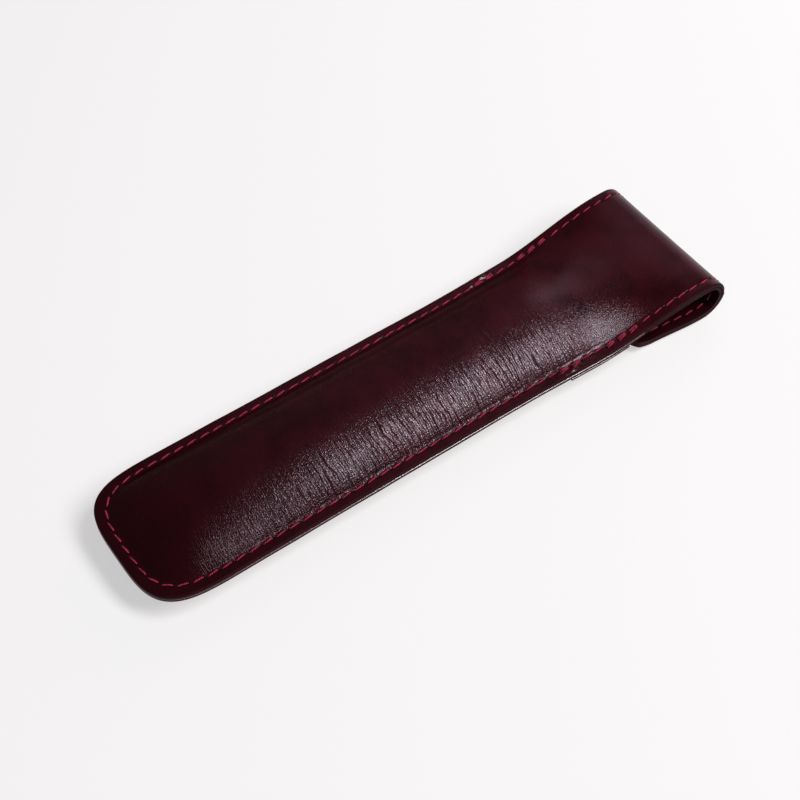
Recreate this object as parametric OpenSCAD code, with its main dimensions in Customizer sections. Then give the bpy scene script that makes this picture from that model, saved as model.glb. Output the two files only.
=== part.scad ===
// Single pen sleeve in leather: a domed pocket with a flap that folds over
// the mouth, runs back underneath and tucks behind a retaining strap.
// It lies front down: the back panel is on top, the pocket and strap below.

/* [Pocket] */
// Closed length, from the rounded end to the outside of the fold
closed_l = 165; // [145:1:190]
// Width across the pocket
pocket_w = 37.8; // [34:0.2:46]
// Length over which the closed end is rounded
round_l = 24.7; // [20:0.1:30]
// Squareness of the rounded end, where 2 is an ellipse
round_power = 3; // [2:0.1:4]
// Rise of the back panel's dome above its sewn edge
back_rise = 6.3; // [4:0.1:8]
// Drop of the pocket's belly below its sewn edge
belly_drop = 5.95; // [5:0.05:8]
// Radius of the dome's section, as a share of its half width
arch_ratio = 1.41; // [1.2:0.01:2]
// Width of the belly that lies flat, as a share of its curved width
flat_share = 0.3; // [0.2:0.01:0.45]
// Rise of the dome at the rounded end, as a share of its full rise
toe_rise = 0.72; // [0.6:0.01:1]
// Length over which the dome swells from there to its full rise
swell_l = 40; // [30:1:60]
// Width of the flat sewn margin
margin_w = 3.3; // [3:0.1:4.5]

/* [Leather] */
// Thickness of the back panel and flap outer
back_t = 1.1; // [0.8:0.05:1.4]
// Thickness of the pocket front
front_t = 1.0; // [0.8:0.05:1.3]
// Thickness of the flap's lining
lining_t = 0.8; // [0.6:0.05:1.1]
// Thickness of the retaining strap
strap_t = 0.8; // [0.6:0.05:1.2]
// Thickness of the glue line between two layers
glue_t = 0.05; // [0.03:0.01:0.08]

/* [Flap] */
// Width of the flap at the fold
flap_w = 41.2; // [38:0.2:50]
// Outside height of the folded loop
loop_h = 11.9; // [11:0.1:15]
// Distance from the pocket's mouth to the outside of the fold
mouth_back = 26.5; // [24:0.5:34]
// Width of the tongue that goes behind the strap
tongue_w = 27; // [22:0.2:28]
// Length of the tongue that shows past the strap
tongue_past = 13; // [10:0.5:18]
// Length of the tongue's rounded tip
tip_l = 12; // [8:0.5:16]
// Space above and below the tongue behind the strap, for its stitches
tongue_gap = 0.75; // [0.7:0.05:1]
// Amount by which the return draws in at each side towards its shoulders
shoulder_in = 1.5; // [0.5:0.1:2.5]
// Gap between the parts of one hide on either side of a hinge line
hinge_gap = 0.1; // [0.05:0.05:0.2]

/* [Strap] */
// Width of the retaining strap along the sleeve
strap_w = 17.5; // [14:0.5:22]
// Distance from the strap to the pocket's mouth
strap_back = 4.5; // [3:0.5:8]
// Room at each side of the tongue behind the strap
tongue_side = 0.4; // [0.3:0.1:0.8]

/* [Shaping] */
// Length over which the sides widen ahead of the strap
widen_run = 20; // [10:1:30]
// Length by which that widening runs on past the start of the fold
widen_over = 2; // [0:0.5:4]
// Length over which the belly lifts ahead of the tongue's tip
lift_run = 28; // [24:1:34]
// Distance from the end of that lift to the strap
lift_clear = 2.5; // [1:0.5:4]
// Distance from the strap's first edge to where the sewn edge starts to rise
rise_delay = 7.5; // [5:0.5:12]
// Distance from the end of that rise to the start of the fold
rise_clear = 3; // [2:0.5:6]

/* [Stitching] */
// Distance from the leather's edge to the stitch line
stitch_inset = 2.4; // [2.2:0.1:2.8]
// Distance from one stitch to the next
stitch_pitch = 3.5; // [3:0.1:4.5]
// Length of one stitch
stitch_l = 2.4; // [2:0.1:2.6]
// Thickness of the thread
thread_d = 0.55; // [0.4:0.05:0.7]

/* [Hidden] */

OXBLOOD = [0.27, 0.07, 0.10];
LINING = [0.33, 0.09, 0.13];
THREAD = [0.75, 0.20, 0.36];

// Gap between a stitch and the leather that it lies on, and clearance from
// the end of a row to a mouth, a strap edge or, along the fold, a hinge line
seat_gap = 0.05;
row_end = 0.3;
hinge_end = 0.65;

// Room from the return's shoulders to the strap and to the mouth, and how
// much of its inset a stitch line moves along the sleeve at the shoulders
shoulder_room = 0.5;
SHOULDER_SLANT = 0.8;

// Where the dome starts to swell, as a share of the rounded length
SWELL_SHARE = 0.6;

// Distance from a leather face to the middle of a stitch on it, with the
// rise of a straight stitch over the outside of the fold
loop_r = loop_h / 2;
on_face = thread_d / 2 + seat_gap;
on_fold = on_face + pow(stitch_l, 2) / (8 * loop_r);

// Places along the sleeve, measured from the rounded end
mouth_x = closed_l - mouth_back;
strap_end = mouth_x - strap_back;
strap_start = strap_end - strap_w;
tip_x = strap_start - tongue_past;
fold_x = closed_l - loop_r;
fold_z = loop_r + on_fold + thread_d / 2;

// Heights of the sewn edges and of the belly
pile_t = back_t + glue_t + lining_t;
seam_z = belly_drop + front_t + glue_t;
tongue_space = pile_t + 2 * tongue_gap;
belly_lift = strap_t + tongue_space + glue_t;

// Where the dome swells, the belly lifts, the edge rises and the sides widen
swell_start = SWELL_SHARE * round_l;
lift_start = tip_x - lift_run;
lift_end = strap_start - lift_clear;
rise_start = strap_start + rise_delay;
rise_end = fold_x - rise_clear;
widen_start = strap_start - widen_run;
widen_end = fold_x + widen_over;

// The return's shoulders, between the tongue and its full width, and where
// it stops following the belly. The tongue starts at its root.
shoulder_start = strap_end - shoulder_room;
shoulder_end = mouth_x + shoulder_room;
flatten_end = mouth_x + strap_back;
tongue_root = strap_end + 2 * shoulder_room;

// Arc angles at which the folded hide is divided, measured from the top
FIRST_HINGE = 45;
SECOND_HINGE = 135;
gap_angle = 90 * hinge_gap / (PI * loop_r);
row_angle = 180 * hinge_end / (PI * loop_r);

// Steps across a panel, as shares of its curved half width
DOME_STEPS = [1, 0.93, 0.84, 0.73, 0.6, 0.45, 0.3, 0.1];
RETURN_STEPS = [1, 0.9, 0.75, 0.55, 0.3, 0.1];
FLAT_STEPS = [1];

// Steps along the panels, round the fold and along the stitch lines
RAY_STEPS = 9;
BODY_STEPS = 5;
LIFT_STEPS = 7;
STRAP_STEPS = 6;
MOUTH_STEPS = 2;
FLAP_STEPS = 9;
TONGUE_STEPS = 8;
TIP_STEPS = 6;
QUARTER_STEPS = 5;
LINE_STEPS = 16;
STITCH_SIDES = 5;

// Rays next to the middle line and to the straight sides, of the panels'
// rounded end, the stitch line there and the tongue's tip
FIRST_RAY = 3;
LAST_LINE_RAY = 85;
FIRST_TIP_RAY = 6;
LAST_TIP_RAY = 78;

// Distance over which a slope is measured, and share where the dome counts
// as met by the flat margin
SLOPE_STEP = 0.02;
MARGIN_SHARE = 0.999;

// A smooth step from 0 to 1
function ease(t) = let (u = max(0, min(1, t))) u * u * (3 - 2 * u);

// An evenly divided run from a to b in n steps
function run(a, b, n) = [for (i = [0:n]) a + (b - a) * i / n];

// A list without its first item, and a list in reverse
function tail(list) = [for (i = [1:len(list) - 1]) list[i]];
function backwards(list) = [for (i = [len(list) - 1:-1:0]) list[i]];

// Half width of the pocket and flap at x
function half_w(x) =
    pocket_w / 2 + (flap_w - pocket_w) / 2
    * ease((x - widen_start) / (widen_end - widen_start));

// Share of the outline at a point, 0 on the middle line and 1 on the edge
function reach(x, y) =
    x >= round_l ? abs(y) / half_w(x)
    : pow(pow((round_l - x) / round_l, round_power)
          + pow(abs(y) / half_w(x), round_power), 1 / round_power);

// Share of the curved half width, over 1 on the flat sewn margin
function curve_share(x, y) = reach(x, y) / (1 - margin_w / half_w(x));

// Height of an arch from 1 in the middle to 0 at the stitch line
function arch(q) =
    let (foot = sqrt(arch_ratio * arch_ratio - 1))
    q >= 1 ? 0
    : (sqrt(arch_ratio * arch_ratio - q * q) - foot) / (arch_ratio - foot);

// A curve from 1 over a flat middle to 0 at the stitch line, as the belly
// lies on a table
function belly_curve(q) =
    let (u = max(0, (q - flat_share) / (1 - flat_share))) max(0, 1 - u * u);

// Thickness seen along Z where a surface slopes, plain on the sewn margin
function steep(f, x, y) =
    let (e = SLOPE_STEP,
         sx = (f(x + e, y) - f(x - e, y)) / (2 * e),
         sy = (f(x, y + e) - f(x, y - e)) / (2 * e))
    curve_share(x, y) > MARGIN_SHARE ? 1 : sqrt(1 + sx * sx + sy * sy);

// Height of the seam between back and front, which rises towards the fold
function edge_z(x) =
    seam_z + (fold_z + loop_r - back_t - seam_z)
    * ease((x - rise_start) / (rise_end - rise_start));

// Rise of the dome, lower at the rounded end and gone at the fold
function dome_rise(x) =
    back_rise * (toe_rise + (1 - toe_rise) * ease((x - swell_start) / swell_l))
    * (1 - ease((x - strap_start) / (rise_end - strap_start)));

function back_in(x, y) = edge_z(x) + dome_rise(x) * arch(curve_share(x, y));
function back_out(x, y) = back_in(x, y) + back_t * steep(function(a, b) back_in(a, b), x, y);
function lining_out(x, y) = back_in(x, y) - glue_t;
function lining_in(x, y) =
    lining_out(x, y) - lining_t * steep(function(a, b) back_in(a, b), x, y);

// Lowest line of the pocket's belly, lifted where the tongue goes under it
function belly_z(x) = belly_lift * ease((x - lift_start) / (lift_end - lift_start));
function front_out(x, y) =
    let (hem = edge_z(x) - glue_t - front_t)
    hem - (hem - belly_z(x)) * belly_curve(curve_share(x, y));
function front_in(x, y) =
    front_out(x, y) + front_t * steep(function(a, b) front_out(a, b), x, y);

// Room for the tongue behind the strap, closed at the side seams
function strap_in(x, y) =
    let (inside = tongue_w / 2 + tongue_side,
         share = 1 - ease((abs(y) - inside) / (half_w(x) - margin_w - inside)))
    front_out(x, y)
    - (glue_t + tongue_space * share) * steep(function(a, b) front_out(a, b), x, y);
function strap_out(x, y) =
    strap_in(x, y) - strap_t * steep(function(a, b) strap_in(a, b), x, y);

// The flap's return follows the belly behind the strap and is flat at the fold
function return_in(x, y) =
    let (a = min(x, strap_end), b = min(abs(y), tongue_w / 2 + tongue_side),
         snug = front_out(a, b) - tongue_gap * steep(function(c, d) front_out(c, d), a, b),
         flat = fold_z - loop_r + pile_t)
    flat + (snug - flat) * ease((flatten_end - x) / (flatten_end - strap_end));
function return_at(x, y, depth) =
    return_in(x, y) - depth * steep(function(a, b) return_in(a, b), x, y);

// Half width of the return and tongue, or of a line at an inset from their
// edge, with shoulders before the strap
function return_half_w(x, inset = 0) =
    let (drawn_in = 1 - ease((x - shoulder_end) / (fold_x - shoulder_end)),
         taper = half_w(fold_x) - shoulder_in * drawn_in,
         step = ease((x - SHOULDER_SLANT * inset - shoulder_start)
                     / (shoulder_end - shoulder_start)),
         neck = tongue_w / 2 + (taper - tongue_w / 2) * step,
         u = max(0, (tip_x + tip_l - x) / (tip_l - inset)))
    (neck - inset) * sqrt(max(0, 1 - u * u));

// A station is [x, ray angle]. Its rays fan out from the middle line round
// the closed end, and cross the sleeve squarely elsewhere.
function end_stations() =
    [for (i = [0:RAY_STEPS - 1]) [round_l, FIRST_RAY + (90 - FIRST_RAY) * i / RAY_STEPS]];
function flat_stations(xs) = [for (x = xs) [x, 90]];

// Plan position of a station's point at a share of the outline
function plan(s, share) =
    let (a = s[1],
         k = share / pow(pow(cos(a), round_power) + pow(sin(a), round_power), 1 / round_power),
         x = s[0] - round_l * k * cos(a))
    [x, half_w(x) * k * sin(a)];

// Outline shares from the edge to near the middle, with the margin's own step
function shares(x) =
    let (inner = 1 - margin_w / half_w(x))
    concat([1], [for (q = DOME_STEPS) inner * q]);

// Section of a panel between two heights: the first side from -Y to +Y, the
// second side back again
function section(s, upper, lower) =
    let (ps = [for (k = shares(s[0])) plan(s, k)],
         n = len(ps),
         line = concat([for (p = ps) [p[0], -p[1]]], [for (i = [n - 1:-1:0]) ps[i]]))
    concat([for (p = line) [p[0], p[1], upper(p[0], p[1])]],
           [for (i = [2 * n - 1:-1:0])
               [line[i][0], line[i][1], lower(line[i][0], line[i][1])]]);

// Positions across a flap that is flat or nearly flat from side to side
function across(w, ks) = concat([for (k = ks) -k * w], [for (i = [len(ks) - 1:-1:0]) ks[i] * w]);

// Section of the fold at an arc angle, between two radii
function fold_section(t, outer, inner, ks) =
    let (ys = across(half_w(fold_x), ks), n = len(ys))
    concat([for (y = ys) [fold_x + outer * sin(t), y, fold_z + outer * cos(t)]],
           [for (i = [n - 1:-1:0]) [fold_x + inner * sin(t), ys[i], fold_z + inner * cos(t)]]);

// Section of the return or tongue, between two depths below its upper face
function return_section(x, outer, inner) =
    let (ys = across(return_half_w(x), RETURN_STEPS), n = len(ys))
    concat([for (y = ys) [x, y, return_at(x, y, outer)]],
           [for (i = [n - 1:-1:0]) [x, ys[i], return_at(x, ys[i], inner)]]);

// Joins sections into one closed shell, with its facets split alike on both
// faces. A zipped start joins the section's two halves to each other, which
// closes a rounded end.
module shell(rings, zipped = false) {
    n = len(rings[0]);
    h = n / 2;
    last = len(rings) - 1;
    sides = [for (i = [0:last - 1], j = [0:n - 1])
        let (a = i * n + j, b = i * n + (j + 1) % n)
        each j % h < h / 2 ? [[a, a + n, b + n], [a, b + n, b]]
                           : [[a, a + n, b], [a + n, b + n, b]]];
    open_start = [for (j = [0:h - 2])
        each [[j, j + 1, n - 2 - j], [j, n - 2 - j, n - 1 - j]]];
    q = h / 2;
    zip_start = concat(
        [for (j = [0:q - 2], o = [0, h])
            each [[o + j, o + j + 1, o + h - 2 - j], [o + j, o + h - 2 - j, o + h - 1 - j]]],
        [[0, h - 1, h], [0, h, n - 1]]);
    finish = [for (j = [0:h - 2])
        each [[last * n + j, last * n + n - 2 - j, last * n + j + 1],
              [last * n + j, last * n + n - 1 - j, last * n + n - 2 - j]]];
    faces = concat(sides, zipped ? zip_start : open_start, finish);
    polyhedron([for (r = rings) each r], [for (f = faces) [f[0], f[2], f[1]]]);
}

// Puts the origin under the middle of the closed sleeve and its stitches
overall_l = closed_l + on_face + thread_d / 2;
module placed() {
    translate([-overall_l / 2, 0, 0]) children();
}

// Stations shared by every panel, so that glued faces match
body_xs = concat(run(round_l, lift_start, BODY_STEPS),
                 tail(run(lift_start, strap_start, LIFT_STEPS)));
strap_xs = run(strap_start, strap_end, STRAP_STEPS);
mouth_xs = run(strap_end, mouth_x, MOUTH_STEPS);
top_xs = run(mouth_x, fold_x, FLAP_STEPS);
return_xs = run(fold_x, tongue_root, FLAP_STEPS + MOUTH_STEPS + 1);
tongue_xs = concat(run(tongue_root - hinge_gap, tip_x + tip_l, TONGUE_STEPS),
                   [for (a = run(LAST_TIP_RAY, FIRST_TIP_RAY, TIP_STEPS))
                       tip_x + tip_l * (1 - cos(a))]);

// One hide makes the back panel, fold, flap and tongue. It is divided where
// it bends and where its tongue pulls out from behind the strap.
module back_panel() {
    flat = flat_stations(concat(body_xs, tail(strap_xs), tail(mouth_xs), tail(top_xs)));
    color(OXBLOOD) placed() shell(zipped = true, rings = concat(
        [for (s = concat(end_stations(), flat))
            section(s, function(x, y) back_out(x, y), function(x, y) back_in(x, y))],
        [for (t = tail(run(0, FIRST_HINGE - gap_angle, QUARTER_STEPS)))
            fold_section(t, loop_r, loop_r - back_t, shares(fold_x))]));
}

module fold_outer() {
    color(OXBLOOD) placed() shell(
        [for (t = run(FIRST_HINGE + gap_angle, SECOND_HINGE - gap_angle, 2 * QUARTER_STEPS))
            fold_section(t, loop_r, loop_r - back_t, FLAT_STEPS)]);
}

module flap_outer() {
    color(OXBLOOD) placed() shell(concat(
        [for (t = run(SECOND_HINGE + gap_angle, 180, QUARTER_STEPS))
            fold_section(t, loop_r, loop_r - back_t, RETURN_STEPS)],
        [for (x = tail(return_xs)) return_section(x, pile_t, lining_t + glue_t)]));
}

module tongue_outer() {
    color(OXBLOOD) placed() shell(
        [for (x = tongue_xs) return_section(x, pile_t, lining_t + glue_t)]);
}

module pocket_front() {
    flat = flat_stations(concat(body_xs, tail(strap_xs), tail(mouth_xs)));
    color(OXBLOOD) placed() shell(zipped = true, rings =
        [for (s = concat(end_stations(), flat))
            section(s, function(x, y) front_in(x, y), function(x, y) front_out(x, y))]);
}

module retaining_strap() {
    color(OXBLOOD) placed() shell(
        [for (s = flat_stations(strap_xs))
            section(s, function(x, y) strap_in(x, y), function(x, y) strap_out(x, y))]);
}

// The lining starts at the pocket's mouth and backs the flap to its tip
module flap_lining_top() {
    radii = [loop_r - back_t - glue_t, loop_r - pile_t];
    xs = concat([mouth_x + glue_t], tail(top_xs));
    color(LINING) placed() shell(concat(
        [for (s = flat_stations(xs))
            section(s, function(x, y) lining_out(x, y), function(x, y) lining_in(x, y))],
        [for (t = tail(run(0, FIRST_HINGE - gap_angle, QUARTER_STEPS)))
            fold_section(t, radii[0], radii[1], shares(fold_x))]));
}

module fold_lining() {
    color(LINING) placed() shell(
        [for (t = run(FIRST_HINGE + gap_angle, SECOND_HINGE - gap_angle, 2 * QUARTER_STEPS))
            fold_section(t, loop_r - back_t - glue_t, loop_r - pile_t, FLAT_STEPS)]);
}

module flap_lining() {
    color(LINING) placed() shell(concat(
        [for (t = run(SECOND_HINGE + gap_angle, 180, QUARTER_STEPS))
            fold_section(t, loop_r - back_t - glue_t, loop_r - pile_t, RETURN_STEPS)],
        [for (x = tail(return_xs)) return_section(x, lining_t, 0)]));
}

module tongue_lining() {
    color(LINING) placed() shell(
        [for (x = tongue_xs) return_section(x, lining_t, 0)]);
}

// The point at a distance along a line of points
function point_at(line, marks, d) =
    [for (c = [0:2]) lookup(d, [for (i = [0:len(line) - 1]) [marks[i], line[i][c]]])];

// Ends of the whole stitches that fit along a line of points
function stitches(line) =
    let (last = len(line) - 1,
         marks = [for (i = 0, l = 0; i <= last;
                       l = l + norm(line[min(last, i + 1)] - line[i]), i = i + 1) l],
         count = max(1, round(marks[last] / stitch_pitch)))
    [for (k = [0:count - 1])
        let (mid = (k + 0.5) * marks[last] / count)
        [point_at(line, marks, mid - stitch_l / 2), point_at(line, marks, mid + stitch_l / 2)]];

// One straight stitch between two points
module stitch(ends) {
    v = ends[1] - ends[0];
    translate(ends[0]) rotate([0, acos(v[2] / norm(v)), atan2(v[1], v[0])])
        cylinder(d = thread_d, h = norm(v), $fn = STITCH_SIDES);
}

module stitch_row(line) {
    for (ends = stitches(line)) stitch(ends);
}

// Sewn line along one side, -1 or 1, and round the closed end
function side_line(side, a, b, z) =
    [for (x = run(a, b, LINE_STEPS)) [x, side * (half_w(x) - stitch_inset), z(x)]];
function end_line(z) =
    [for (a = run(LAST_LINE_RAY, -LAST_LINE_RAY, 2 * LINE_STEPS))
        let (p = plan([round_l, abs(a)], 1 - stitch_inset * 2 / pocket_w))
        [p[0], -sign(a) * p[1], z(p[0])]];
function u_line(from, z) =
    concat(side_line(-1, from, round_l, z), end_line(z), side_line(1, round_l, from, z));

// Sewn line round the fold between two arc angles, at a radius
function fold_line(side, a, b, r) =
    [for (t = run(a, b, LINE_STEPS))
        [fold_x + r * sin(t), side * (half_w(fold_x) - stitch_inset), fold_z + r * cos(t)]];

// Sewn line along the return or tongue, at a depth below its upper face
function return_line(side, xs, depth) =
    [for (x = xs) let (y = side * return_half_w(x, stitch_inset)) [x, y, return_at(x, y, depth)]];

// Heights of the stitches on each face of the sewn edge
function over_back(x) = edge_z(x) + back_t + on_face;
function under_lining(x) = edge_z(x) - glue_t - lining_t - on_face;
function under_front(x) = edge_z(x) - glue_t - front_t - on_face;
function under_strap(x) = under_front(x) - glue_t - strap_t;

// The pocket's rows on the back, and on the front and strap underneath
back_row = u_line(mouth_x - row_end, function(x) over_back(x));
front_row = u_line(strap_start - row_end, function(x) under_front(x));
function strap_row(side) =
    side_line(side, strap_start + row_end, strap_end - row_end, function(x) under_strap(x));
function hem_row(side) =
    side_line(side, strap_end + row_end, mouth_x - row_end, function(x) under_front(x));

module pocket_seam() {
    color(THREAD) placed() {
        stitch_row(back_row);
        stitch_row(front_row);
        for (side = [-1, 1]) {
            stitch_row(strap_row(side));
            stitch_row(hem_row(side));
        }
    }
}

// Second strands beside the stitches at the strap's corners and the mouth
module strap_backstitches() {
    step = thread_d + seat_gap;
    lower = [strap_start - stitch_pitch, strap_start + stitch_pitch];
    upper = [strap_end - stitch_pitch, mouth_x];
    rows = [for (side = [-1, 1]) each [strap_row(side), hem_row(side)]];
    ends = [for (row = concat([back_row, front_row], rows)) each stitches(row)];
    color(THREAD) placed()
        for (e = ends)
            let (mid = (e[0][0] + e[1][0]) / 2, out = [0, sign(e[0][1]) * step, 0])
            if ((mid > lower[0] && mid < lower[1]) || (mid > upper[0] && mid < upper[1]))
                stitch([e[0] + out, e[1] + out]);
}

module flap_seam_top() {
    from = mouth_x + row_end;
    color(THREAD) placed()
        for (side = [-1, 1]) {
            stitch_row(concat(
                side_line(side, from, fold_x, function(x) over_back(x)),
                tail(fold_line(side, 0, FIRST_HINGE - row_angle, loop_r + on_fold))));
            stitch_row(concat(
                side_line(side, from, fold_x, function(x) under_lining(x)),
                tail(fold_line(side, 0, FIRST_HINGE - row_angle, loop_r - pile_t - on_face))));
        }
}

module fold_seam() {
    color(THREAD) placed()
        for (side = [-1, 1], r = [loop_r + on_fold, loop_r - pile_t - on_face])
            stitch_row(fold_line(side, FIRST_HINGE + row_angle, SECOND_HINGE - row_angle, r));
}

module flap_seam() {
    xs = tail(run(fold_x, tongue_root + row_end, LINE_STEPS));
    color(THREAD) placed()
        for (side = [-1, 1]) {
            stitch_row(concat(
                fold_line(side, SECOND_HINGE + row_angle, 180, loop_r + on_fold),
                return_line(side, xs, pile_t + on_face)));
            stitch_row(concat(
                fold_line(side, SECOND_HINGE + row_angle, 180, loop_r - pile_t - on_face),
                return_line(side, xs, -on_face)));
        }
}

module tongue_seam() {
    sides = run(tongue_root - row_end, tip_x + tip_l, LINE_STEPS);
    tip = [for (a = run(LAST_TIP_RAY, 0, LINE_STEPS / 2))
        tip_x + tip_l - (tip_l - stitch_inset) * cos(a)];
    xs = concat(sides, tip);
    color(THREAD) placed()
        for (depth = [pile_t + on_face, -on_face])
            stitch_row(concat(return_line(-1, xs, depth),
                              tail(backwards(return_line(1, xs, depth)))));
}

back_panel();
pocket_front();
retaining_strap();
flap_lining_top();
fold_outer();
fold_lining();
flap_outer();
flap_lining();
tongue_outer();
tongue_lining();
pocket_seam();
strap_backstitches();
flap_seam_top();
fold_seam();
flap_seam();
tongue_seam();
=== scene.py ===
"""A leather sleeve for one pen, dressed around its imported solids.

The sleeve lies front down. Its back hide runs from a rounded toe over the
domed pocket to the fold, turns back underneath as a lined flap, and ends in a
tongue behind the retaining strap. Sizes are in millimetres in SleeveForm, and
meshes are in metres in the frame of the solids.
"""

import logging
import math
from dataclasses import dataclass, field
from enum import Enum
from typing import Callable, Iterable, Sequence

import bmesh
import bpy
from mathutils import Matrix, Vector, noise
from mathutils.kdtree import KDTree


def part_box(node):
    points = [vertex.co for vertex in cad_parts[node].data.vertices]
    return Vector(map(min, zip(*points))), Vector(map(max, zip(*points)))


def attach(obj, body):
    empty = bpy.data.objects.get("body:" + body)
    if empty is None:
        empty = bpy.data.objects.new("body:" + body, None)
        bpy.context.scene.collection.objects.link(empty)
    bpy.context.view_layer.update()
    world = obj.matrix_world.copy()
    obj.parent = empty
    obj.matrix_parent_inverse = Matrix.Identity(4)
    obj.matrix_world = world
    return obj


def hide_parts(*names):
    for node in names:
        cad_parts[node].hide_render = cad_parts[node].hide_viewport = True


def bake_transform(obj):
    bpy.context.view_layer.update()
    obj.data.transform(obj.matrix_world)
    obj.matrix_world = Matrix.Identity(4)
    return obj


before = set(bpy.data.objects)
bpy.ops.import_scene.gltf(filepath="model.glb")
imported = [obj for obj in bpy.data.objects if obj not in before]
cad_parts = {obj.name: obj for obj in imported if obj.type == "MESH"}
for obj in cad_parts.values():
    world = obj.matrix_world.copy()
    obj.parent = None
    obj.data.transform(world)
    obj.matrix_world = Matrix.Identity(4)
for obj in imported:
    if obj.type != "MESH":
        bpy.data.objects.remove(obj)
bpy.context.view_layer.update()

log = logging.getLogger("pen_sleeve")
MM = 0.001
Socket = bpy.types.NodeSocket


class Side(Enum):
    """Side of the sleeve in the photograph."""

    NEAR = -1
    FAR = 1


class Sheet(Enum):
    """The leather sheets of the sleeve, with the names of their pieces."""

    BACK_HIDE = "back_hide"
    BACK_LINING = "upper_lining"
    FLAP_HIDE = "flap_hide"
    FLAP_LINING = "lower_lining"
    FRONT = "pocket_belly"
    STRAP = "strap_band"


def ease(x: float, start: float, end: float) -> float:
    """Return a smooth step of x, 0 up to the start and 1 past the end."""
    u = max(0.0, min(1.0, (x - start) / (end - start)))
    return u * u * (3 - 2 * u)


def spread(start: float, end: float, step: float) -> list[float]:
    """Divide a stretch evenly.

    Args:
        start: First value.
        end: Last value.
        step: Rough distance between values.

    Returns:
        Values from start to end, both included.
    """
    count = max(1, round(abs(end - start) / step))
    return [start + (end - start) * i / count for i in range(count + 1)]


def thinned(values: list, step: int) -> list:
    """Return one value in so many from the first on, and always the last."""
    return values[::step] if (len(values) - 1) % step == 0 else values[::step] + values[-1:]


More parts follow.
